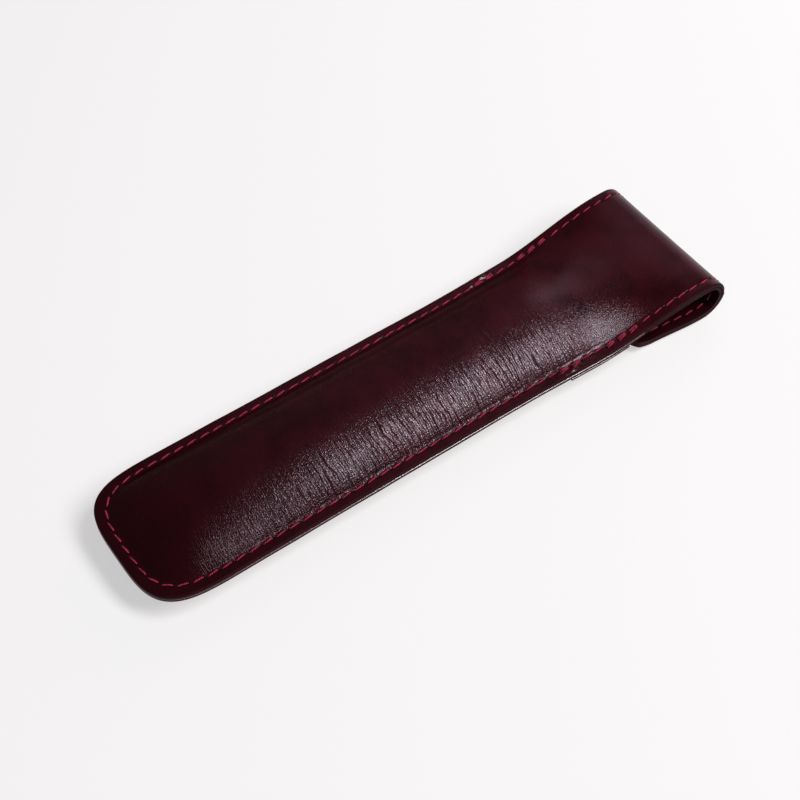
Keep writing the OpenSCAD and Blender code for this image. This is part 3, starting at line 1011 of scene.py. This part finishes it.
@dataclass
class Dents:
    """Dips that the thread pulls into the leather, with sizes in millimetres."""

    row_depth: float = 0.05
    row_width: float = 0.6
    hole_depth: float = 0.28
    hole_width: float = 0.3
    holes: list[Vector] = field(default_factory=list)
    lines: list[Vector] = field(default_factory=list)

    def press(self, stitches: Iterable[Stitch]) -> None:
        """Add the holes and the line of some stitches.

        Args:
            stitches: The stitches.
        """
        for s in stitches:
            self.holes += [s.start, s.end]
            self.lines += [s.start, s.start.lerp(s.end, 0.33), s.start.lerp(s.end, 0.67), s.end]

    def depth_at(self) -> Callable[[Vector], float]:
        """Return a function of a point that gives its dip in millimetres.

        Returns:
            The function.
        """
        holes = self.nearest(self.holes)
        lines = self.nearest(self.lines)

        def depth(p: Vector) -> float:
            """Return the dip at a point."""
            hole = holes.find(p)[2] / MM / self.hole_width
            line = lines.find(p)[2] / MM / self.row_width
            return self.hole_depth * math.exp(-(hole**2)) + self.row_depth * math.exp(-(line**2))

        return depth

    @staticmethod
    def nearest(points: list[Vector]) -> KDTree:
        """Return a tree that finds the nearest of some points.

        Args:
            points: The points.

        Returns:
            The tree.
        """
        tree = KDTree(len(points))
        for i, p in enumerate(points):
            tree.insert(p, i)
        tree.balance()
        return tree


def linked(name: str, bm: bmesh.types.BMesh, materials: Sequence[bpy.types.Material]) -> bpy.types.Object:
    """Turn a mesh that is ready into an object in the scene.

    Args:
        name: Name of the object.
        bm: The mesh, which is freed.
        materials: Materials by the index that the faces use.

    Returns:
        The object.
    """
    mesh = bpy.data.meshes.new(name)
    bm.to_mesh(mesh)
    bm.free()
    for m in materials:
        mesh.materials.append(m)
    obj = bpy.data.objects.new(name, mesh)
    bpy.context.scene.collection.objects.link(obj)
    return obj


@dataclass
class LeatherSheet:
    """One sheet of leather as a closed mesh with rounded edges.

    Insets run from the edge to the middle line, in millimetres. The materials are those of the
    faces, of the edge's inner rounding and of the rest of the edge. The rounding is that of the
    edge on the outer and on the inner side, in millimetres. The relief gives the rise of the
    outer face in millimetres at a point.
    """

    name: str
    place: Place
    stations: list[Station]
    insets: list[float]
    thickness: float
    materials: list[bpy.types.Material]
    rounding: tuple[float, float]
    relief: Callable[[Vector], float] | None

    def build(self) -> bpy.types.Object:
        """Build the sheet's object.

        Returns:
            The piece.
        """
        inner = thinned(self.insets, 6) if len(self.insets) > 12 else self.insets
        rows = [(inset, 0.0) for inset in reversed(self.insets)]
        rows += [(inset, self.thickness) for inset in inner]
        inner_rim = len(self.insets)
        outer_rim = inner_rim - 1
        last_station = len(self.stations) - 1
        last_row = len(rows) - 1
        bm = bmesh.new()
        tags = bm.verts.layers.int.new("row")
        made = bmesh.ops.create_grid(bm, x_segments=last_station, y_segments=last_row, size=1.0)
        for v in made["verts"]:
            i = round((v.co.x + 1) / 2 * last_station)
            j = round((v.co.y + 1) / 2 * last_row)
            v.co = self.point(self.stations[i], *rows[j])
            v[tags] = j
        self.close(bm)
        for f in bm.faces:
            f.material_index = 2 if {v[tags] for v in f.verts} == {outer_rim, inner_rim} else 0
        self.round_off(bm, tags, inner_rim, self.rounding[1], 1)
        self.round_off(bm, tags, outer_rim, self.rounding[0], 2)
        for f in bm.faces:
            f.smooth = True
        self.cap(bm)
        return linked(self.name, bm, self.materials)

    def point(self, station: Station, inset: float, depth: float) -> Vector:
        """Return a point of the sheet, moved out by the relief on the outer face.

        Args:
            station: Station along the sheet.
            inset: Distance in from the edge, in millimetres.
            depth: Distance from the outer face, in millimetres.

        Returns:
            The point, in metres.
        """
        p = self.place(station, inset, depth)
        if self.relief is None or depth > 0:
            return p
        out = (p - self.place(station, inset, self.thickness)).normalized()
        return p + out * self.relief(p) * MM

    def close(self, bm: bmesh.types.BMesh) -> None:
        """Mirror the half sheet and close its ends.

        Args:
            bm: Mesh of the far half of the sheet.
        """
        bmesh.ops.remove_doubles(bm, verts=bm.verts, dist=1e-6)
        bmesh.ops.mirror(bm, geom=bm.verts[:] + bm.edges[:] + bm.faces[:], axis="Y", merge_dist=2e-5)
        bmesh.ops.remove_doubles(bm, verts=bm.verts, dist=1e-6)
        bmesh.ops.dissolve_degenerate(bm, dist=1e-7, edges=bm.edges)
        bmesh.ops.holes_fill(bm, edges=[e for e in bm.edges if e.is_boundary], sides=0)
        bmesh.ops.recalc_face_normals(bm, faces=bm.faces)

    def round_off(self, bm: bmesh.types.BMesh, tags: bmesh.types.BMLayerItem, row: int, radius: float,
                  material: int) -> None:
        """Round the edge on one side of the sheet.

        Args:
            bm: Mesh of the sheet.
            tags: Layer that holds the row of each vertex.
            row: Row of vertices along that side of the edge.
            radius: Size of the rounding, in millimetres.
            material: Index of the rounding's material.
        """
        edges = [e for e in bm.edges if all(v[tags] == row for v in e.verts) and len(e.link_faces) == 2]
        made = bmesh.ops.bevel(bm, geom=edges, offset=radius * MM, offset_type="OFFSET", segments=3,
                               profile=0.5, affect="EDGES", clamp_overlap=True, material=-1)
        for f in made["faces"]:
            f.material_index = material

    def cap(self, bm: bmesh.types.BMesh) -> None:
        """Divide the faces that close the cut ends, and make their outlines sharp.

        Args:
            bm: Mesh of the sheet.
        """
        caps = [f for f in bm.faces if len(f.verts) > 8]
        for f in caps:
            for e in f.edges:
                e.smooth = False
        bmesh.ops.triangulate(bm, faces=caps)


@dataclass
class Leather:
    """The leather panels: back, flap, linings, pocket front and strap.

    Each rounding is that of an edge on the outer and on the inner side. The waves lie below the
    form. The pucker is a rough swelling of each margin where the strap starts. Sizes are in
    millimetres.
    """

    form: SleeveForm
    hide_round: tuple[float, float] = (0.36, 0.36)
    lining_round: tuple[float, float] = (0.26, 0.26)
    bead_round: tuple[float, float] = (0.12, 0.14)
    wave_l: float = 8.0
    wave_h: float = 0.1
    wave_top: float = 0.8
    pucker_before: float = 1.0
    pucker_inset: float = 1.2
    pucker_size: tuple[float, float, float] = (3.4, 0.9, 2.0)
    pucker_h: float = 0.35
    pucker_rough: float = 0.5
    pucker_grain: float = 1.1

    def __post_init__(self) -> None:
        """Make the finishes of the faces and of the edges."""
        leather = LeatherFinish("oxblood_leather", (0.035, 0.0026, 0.005), (0.014, 0.0007, 0.0014))
        lining = LeatherFinish("lining_leather", (0.018, 0.0014, 0.003), (0.012, 0.0009, 0.0018),
                               roughness=0.5, gloss=0.12, creased=False)
        # The bead's light pink colour paints a highlight along the edge's inner rounding, on top of the
        # real gloss of its coat; the wall keeps the dark colour of the edge.
        bead = EdgeFinish("burnished_bead_painted_highlight", (0.2, 0.07, 0.095), roughness=0.22, coat=1.0, gloss=1.0)
        wall = EdgeFinish("painted_edge", (0.03, 0.003, 0.0065), roughness=0.5, coat=0.0, gloss=0.05)
        leather, lining, bead, wall = (finish.material() for finish in (leather, lining, bead, wall))
        self.hide = [leather, wall, wall]
        self.beaded = [leather, bead, wall]
        self.backing = [lining, wall, wall]

    def relief(self, dents: Dents) -> Callable[[Vector], float]:
        """Return the rise of an outer face: soft waves, the seam's dips and a pucker by the strap.

        Args:
            dents: Dips along the seams.

        Returns:
            Function of a point that gives millimetres.
        """
        f = self.form
        dip = dents.depth_at()
        x = f.strap_start
        middle = f.point(x - self.pucker_before, f.half_w(x) - self.pucker_inset, f.edge_z(x) + f.back_t)

        def rise(p: Vector) -> float:
            """Return the rise at a point, in millimetres."""
            away = (p - middle) / MM
            near = math.exp(-sum((a / size) ** 2 for a, size in zip(away, self.pucker_size)))
            pucker = near * (self.pucker_h + self.pucker_rough * noise.noise(p / (self.pucker_grain * MM)))
            waves = self.wave_h * (noise.noise(p / (self.wave_l * MM)) - self.wave_top)
            return waves + pucker - dip(p)

        return rise

    def build(self, dents: Dents) -> dict[Sheet, bpy.types.Object]:
        """Build every sheet.

        Args:
            dents: Dips along the seams of the outer faces.

        Returns:
            The pieces by sheet.
        """
        f = self.form
        path = SheetPath(f)
        half = f.pocket_w / 2
        fine = [0.0] + spread(0.55, 1.6, 0.3) + spread(1.85, 3.1, 0.22) + spread(3.5, half, 0.62)
        sparse = thinned(fine, 2)
        plain = [0.0, 0.6] + spread(1.2, 3.6, 0.6) + spread(4.4, half, 1.2)
        toe = path.toe(1.0)
        body = crossings(f.round_l, f.mouth_x, 0.45)[1:]
        quarter = path.turns(0, 90, 2.5)[1:]
        over = toe + body + crossings(f.mouth_x, f.fold_x, 0.45)[1:] + quarter
        mouth = crossings(f.mouth_x + f.glue_t, f.fold_x, 0.6) + quarter
        tip = [Station(f.tip_x + f.tip_l * (1 - math.cos(a)))
               for a in spread(math.radians(84), 0.0, math.radians(6))][1:]
        under = path.turns(90, 180, 2.5) + crossings(f.fold_x, f.tip_x + f.tip_l, 0.6)[1:] + tip
        band = crossings(f.strap_start, f.strap_end, 0.6)
        rise = self.relief(dents)
        hide = (self.hide, self.hide_round)
        backing = (self.backing, self.lining_round)
        beaded = (self.beaded, self.bead_round)
        plan = {
            Sheet.BACK_HIDE: (path.back, over, fine, f.back_t, *hide, rise),
            Sheet.BACK_LINING: (path.inside(path.back), mouth, sparse, f.lining_t, *backing, None),
            Sheet.FLAP_HIDE: (path.flap, under, plain, f.back_t, *hide, rise),
            Sheet.FLAP_LINING: (path.inside(path.flap), under, plain, f.lining_t, *backing, rise),
            Sheet.FRONT: (path.front, thinned(toe, 2) + body[::2], plain, f.front_t, *beaded, rise),
            Sheet.STRAP: (path.strap, band, plain, f.strap_t, *beaded, rise),
        }
        return {sheet: LeatherSheet(sheet.value, *parts).build() for sheet, parts in plan.items()}


@dataclass
class Seams:
    """The rows of stitches on the faces of the leather.

    Clear is the distance in millimetres that a row keeps from the end of its piece.
    """

    form: SleeveForm
    clear: float = 0.3

    def __post_init__(self) -> None:
        """Prepare the path of the sheets."""
        self.path = SheetPath(self.form)

    def trace(self, place: Place, stations: list[Station], side: Side) -> tuple[list[Vector], list[Vector]]:
        """Follow a face along the stitch line.

        Args:
            place: Gives a point from a station, an inset and a depth.
            stations: Stations along the row.
            side: Side of the sleeve.

        Returns:
            Points and outward normals along the row.
        """
        points, normals = [], []
        for s in stations:
            p, q = (place(s, self.form.stitch_inset, depth) for depth in (0.0, 0.5))
            for v in (p, q):
                v.y *= side.value
            points.append(p)
            normals.append((p - q).normalized())
        return points, normals

    def round_end(self, place: Place, stations: list[Station]) -> Row:
        """Return one row that goes up the near side, round an end and down the far side.

        Args:
            place: Gives a point from a station, an inset and a depth.
            stations: Stations from the end on.

        Returns:
            The row.
        """
        near, far = (self.trace(place, stations, side) for side in Side)
        return Row(near[0][::-1] + far[0][1:], near[1][::-1] + far[1][1:])

    def sides(self, place: Place, stations: list[Station]) -> list[Row]:
        """Return a row along each side."""
        return [Row(*self.trace(place, stations, side)) for side in Side]

    def flap_line(self, s: Station, inset: float, depth: float) -> Vector:
        """Return a point on the return and tongue whose inset follows the shoulders and the tip.

        Args:
            s: Station along the sheet.
            inset: Distance in from the edge, in millimetres.
            depth: Distance above the outer face, in millimetres.

        Returns:
            The point, in metres.
        """
        f = self.form
        if s.arc > 0:
            return self.path.arc(s, inset, depth)
        y = f.return_half_w(s.x, inset)
        return f.point(s.x, y, f.return_in(s.x, y) - (f.pile_t - depth) * f.steep(f.return_in, s.x, y))

    def rows(self) -> dict[str, list[Row]]:
        """Return the rows of each thread piece.

        Returns:
            Rows by the name of the thread piece.
        """
        f, path, clear = self.form, self.path, self.clear
        toe = path.toe(4)
        body = crossings(f.round_l, f.mouth_x - clear, 2.0)[1:]
        before = crossings(f.round_l, f.strap_start - clear, 2.0)[1:]
        strap = crossings(f.strap_start + clear, f.strap_end - clear, 1.0)
        hem = crossings(f.strap_end + clear, f.mouth_x - clear, 1.0)
        over = crossings(f.mouth_x + clear, f.fold_x, 1.0) + path.turns(0, 86, 4)[1:]
        under = path.turns(94, 180, 4) + crossings(f.fold_x, f.strap_end + 1.3, 1.0)[1:]
        root = f.tip_x + f.tip_l
        round_tip = [root - (f.tip_l - f.stitch_inset) * math.cos(a)
                     for a in spread(math.radians(80), 0, math.radians(8))]
        tongue = [Station(x) for x in reversed(spread(f.strap_end + 0.7, root, 1.5) + round_tip)]
        flap_faces = (self.flap_line, path.inside(self.flap_line))
        round_toe = [self.round_end(path.back, toe + body), self.round_end(path.front, toe + before)]
        round_tongue = [self.round_end(place, tongue) for place in flap_faces]
        flap_sides = [row for place in flap_faces for row in self.sides(place, under)]
        return {
            "pocket_thread": round_toe + self.sides(path.strap, strap) + self.sides(path.front, hem),
            "upper_flap_thread": self.sides(path.back, over) + self.sides(path.inside(path.back), over),
            "lower_flap_thread": flap_sides + round_tongue,
        }


@dataclass
class Thread:
    """Thread pieces: every stitch of one piece in one mesh.

    The diameter and the lift off the leather are in millimetres. The slant from the row and its
    sway are in degrees. Reach is a share of the stitch's length to each side of its middle. Flat,
    lumps and dive are shares of the thread's thickness.
    """

    finish: ThreadFinish = ThreadFinish()
    diameter: float = 0.43
    lift: float = 0.05
    slant: float = 7.0
    sway: float = 5.0
    reach: float = 0.53
    flat: float = 0.82
    lumps: float = 0.28
    dive: float = 0.62

    def __post_init__(self) -> None:
        """Make the thread's material."""
        self.material = self.finish.material()

    def build(self, name: str, stitches: list[Stitch]) -> bpy.types.Object:
        """Build the stitches of one piece.

        Args:
            name: Name of the piece.
            stitches: The stitches.

        Returns:
            The piece.
        """
        bm = bmesh.new()
        uv = bm.loops.layers.uv.new("UVMap")
        for k, s in enumerate(stitches):
            self.add(bm, uv, s, k)
        for f in bm.faces:
            f.smooth = True
        bmesh.ops.recalc_face_normals(bm, faces=bm.faces)
        return linked(name, bm, [self.material])

    def add(self, bm: bmesh.types.BMesh, uv: bmesh.types.BMLayerItem, s: Stitch, k: int) -> None:
        """Add one stitch that dives into its two holes.

        Args:
            bm: Mesh of the piece.
            uv: UV layer, which runs round the thread and along it.
            s: The stitch.
            k: Number of the stitch, from which its sway and its lumps follow.
        """
        made = bmesh.ops.create_uvsphere(bm, u_segments=8, v_segments=9, radius=0.5)["verts"]
        faces = {f for v in made for f in v.link_faces}
        for f in faces:
            for loop in f.loops:
                c = loop.vert.co
                loop[uv].uv = (math.atan2(c.y, c.x) / math.tau + 0.5, c.z * 4)
        length = (s.end - s.start).length
        turn = self.slant + self.sway * noise.noise(Vector((k * 1.7, 3.1, 0.4)))
        along = Matrix.Rotation(math.radians(turn), 3, s.out) @ (s.end - s.start).normalized()
        across = s.out.cross(along)
        middle = (s.start + s.end) / 2
        thick = self.diameter * MM
        for v in made:
            u = v.co.z * 2
            # The ends are blunter than those of a ball.
            blunt = math.sqrt((1 - abs(u) ** 5) / (1 - u * u)) if abs(u) < 0.999 else 1.0
            fat = thick * blunt * (1 + self.lumps * noise.noise(Vector((k * 2.3, u * 1.8, 5.0))))
            rise = self.lift * MM - self.dive * thick * abs(u) ** 6
            v.co = (middle + along * (u * length * self.reach) + across * (v.co.x * fat)
                    + s.out * (v.co.y * fat * self.flat + rise))


@dataclass(frozen=True)
class Softbox:
    """A soft lamp that faces the sleeve.

    It hangs at a distance in metres in a direction from the sleeve. Its size is along the sleeve
    and up, in metres, and its power is in watts.
    """

    name: str
    toward: tuple[float, float, float]
    distance: float
    size: tuple[float, float]
    power: float
    colour: tuple[float, float, float]

    def hang(self) -> None:
        """Hang the lamp."""
        data = bpy.data.lights.new(self.name, "AREA")
        data.shape = "RECTANGLE"
        data.size, data.size_y = self.size
        data.energy = self.power
        data.color = self.colour
        obj = bpy.data.objects.new(self.name, data)
        out = Vector(self.toward).normalized()
        along = (Vector((1, 0, 0)) - out * out.x).normalized()
        obj.location = out * self.distance
        obj.rotation_mode = "QUATERNION"
        obj.rotation_quaternion = Matrix((along, out.cross(along), out)).transposed().to_quaternion()
        bpy.context.scene.collection.objects.link(obj)


@dataclass
class Studio:
    """Camera, pale floor and soft light.

    The target, the distance and the lens are in millimetres, the angles in degrees and half the
    floor in metres.
    """

    target: tuple[float, float, float] = (-1.21, 3.40, 0.0)
    azimuth: float = -35.54
    elevation: float = 52.77
    distance: float = 358.5
    lens: float = 66.2
    floor_half: float = 1.5
    floor_colour: tuple[float, float, float] = (0.97, 0.953, 0.945)
    glow_share: float = 0.56
    room_colour: tuple[float, float, float] = (0.8, 0.85, 1.0)
    room_strength: float = 0.16
    softboxes: tuple[Softbox, ...] = (
        Softbox("key_softbox", (0.43, -0.42, 0.8), 1.5, (0.44, 0.96), 22.5, (1.0, 1.0, 1.0)),
        Softbox("fold_softbox", (0.68, 0.45, 0.62), 0.5, (0.15, 0.15), 0.04, (1.0, 0.72, 0.84)),
        Softbox("rim_softbox", (0.86, 0.42, 0.27), 0.5, (0.3, 0.3), 0.34, (1.0, 0.7, 0.82)),
    )

    def build(self) -> None:
        """Build the camera, the floor and the lights."""
        self.camera()
        self.floor()
        self.room()
        for softbox in self.softboxes:
            softbox.hang()
        bpy.context.scene.view_settings.view_transform = "Standard"

    def camera(self) -> None:
        """Place the camera where the photograph was taken from."""
        data = bpy.data.cameras.new("camera")
        data.lens = self.lens
        data.sensor_width = 36.0
        data.clip_start = 0.01
        obj = bpy.data.objects.new("camera", data)
        a, e = math.radians(self.azimuth), math.radians(self.elevation)
        out = Vector((math.sin(a) * math.cos(e), -math.cos(a) * math.cos(e), math.sin(e)))
        obj.location = Vector(self.target) * MM + out * self.distance * MM
        obj.rotation_mode = "QUATERNION"
        obj.rotation_quaternion = (-out).to_track_quat("-Z", "Y")
        bpy.context.scene.collection.objects.link(obj)
        bpy.context.scene.camera = obj

    def floor(self) -> None:
        """Lay the pale floor, which glows a little where it is seen, so that it stays pale."""
        tree = Nodes("paper_floor")
        tree.put("Base Color", (*self.floor_colour, 1.0))
        tree.put("Roughness", 0.9)
        tree.put("Specular IOR Level", 0.1)
        glow = tree.add("ShaderNodeEmission")
        glow.inputs["Color"].default_value = (*self.floor_colour, 1.0)
        rays = tree.add("ShaderNodeLightPath").outputs
        seen = tree.math("MAXIMUM", rays["Is Camera Ray"], rays["Is Glossy Ray"])
        seen = tree.math("MAXIMUM", seen, rays["Is Transmission Ray"])
        blend = tree.add("ShaderNodeMixShader")
        tree.link(tree.math("MULTIPLY", seen, self.glow_share), blend.inputs[0])
        tree.link(tree.shader.outputs[0], blend.inputs[1])
        tree.link(glow.outputs[0], blend.inputs[2])
        tree.link(blend.outputs[0], tree.find("ShaderNodeOutputMaterial").inputs["Surface"])
        bm = bmesh.new()
        bmesh.ops.create_grid(bm, x_segments=1, y_segments=1, size=self.floor_half)
        obj = linked("floor", bm, [tree.material])

    def room(self) -> None:
        """Light the room softly and evenly."""
        world = bpy.data.worlds.new("studio")
        bpy.context.scene.world = world
        world.use_nodes = True
        back = next(n for n in world.node_tree.nodes if n.bl_idname == "ShaderNodeBackground")
        back.inputs["Color"].default_value = (*self.room_colour, 1.0)
        back.inputs["Strength"].default_value = self.room_strength


@dataclass
class PenSleeve:
    """The whole sleeve, dressed, with its pieces set on the sleeve's body or baked in place.

    The two ends of a second strand lie strand_gaps beside the first strand, in millimetres.
    """

    form: SleeveForm = field(default_factory=SleeveForm)
    strand_gaps: tuple[float, float] = (0.4, 0.65)

    REPLACED = {
        Sheet.BACK_HIDE: ("back_panel", "fold_outer"),
        Sheet.BACK_LINING: ("flap_lining_top", "fold_lining"),
        Sheet.FLAP_HIDE: ("flap_outer", "tongue_outer"),
        Sheet.FLAP_LINING: ("flap_lining", "tongue_lining"),
        Sheet.FRONT: ("pocket_front",),
        Sheet.STRAP: ("retaining_strap",),
    }
    THREADS = {
        "pocket_thread": ("pocket_seam",),
        "backstitch_thread": ("strap_backstitches",),
        "upper_flap_thread": ("flap_seam_top", "fold_seam"),
        "lower_flap_thread": ("flap_seam", "tongue_seam"),
    }
    UPPER_BEND = ("back_hide", "upper_lining", "upper_flap_thread")
    LOWER_BEND = ("flap_hide", "lower_lining", "lower_flap_thread")

    def doubled(self, stitches: list[Stitch]) -> list[Stitch]:
        """Return second strands beside the stitches at the strap's corners and the mouth.

        Args:
            stitches: Stitches of the pocket.

        Returns:
            The second strands.
        """
        f = self.form
        low, high, mouth = (x + f.toe for x in (f.strap_start, f.strap_end, f.mouth_x))
        found = []
        for s in stitches:
            x = (s.start.x + s.end.x) / 2 / MM
            if abs(x - low) < Row.pitch or high - 1.5 * Row.pitch < x < mouth:
                aside = s.out.cross(s.end - s.start).normalized() * MM
                start_gap, end_gap = self.strand_gaps
                found.append(Stitch(s.start + start_gap * aside, s.end + end_gap * aside, s.out))
        return found

    def build(self) -> None:
        """Build the leather and the thread, and set them on the sleeve's body or bake them in place."""
        rows = Seams(self.form).rows()
        stitches = {name: [s for row in found for s in row.stitches()] for name, found in rows.items()}
        stitches["backstitch_thread"] = self.doubled(stitches["pocket_thread"])
        dents = Dents()
        for found in stitches.values():
            dents.press(found)
        for sheet, piece in Leather(self.form).build(dents).items():
            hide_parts(*self.REPLACED[sheet])
            self.join(piece)
            log.info("%s: %d faces", piece.name, len(piece.data.polygons))
        thread = Thread()
        for name, found in stitches.items():
            piece = thread.build(name, found)
            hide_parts(*self.THREADS[name])
            self.join(piece)
            log.info("%s: %d stitches", name, len(found))

    def join(self, piece: bpy.types.Object) -> None:
        """Bake the transform of a piece on the first or second half of the fold into its mesh, or set it on
        the sleeve.

        Args:
            piece: The piece.
        """
        f = self.form
        if piece.name in self.UPPER_BEND:
            f.point(f.fold_x, 0, f.fold_z + f.loop_r)
            f.point(f.fold_x + f.loop_r, 0, f.fold_z)
            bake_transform(piece)
        elif piece.name in self.LOWER_BEND:
            f.point(f.fold_x + f.loop_r, 0, f.fold_z)
            f.point(f.fold_x, 0, f.fold_z - f.loop_r)
            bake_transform(piece)
        else:
            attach(piece, "sleeve")


def main() -> None:
    """Build the sleeve and the studio around it."""
    logging.basicConfig(level=logging.INFO, format="%(name)s: %(message)s")
    PenSleeve().build()
    Studio().build()


if __name__ == "__main__":
    main()
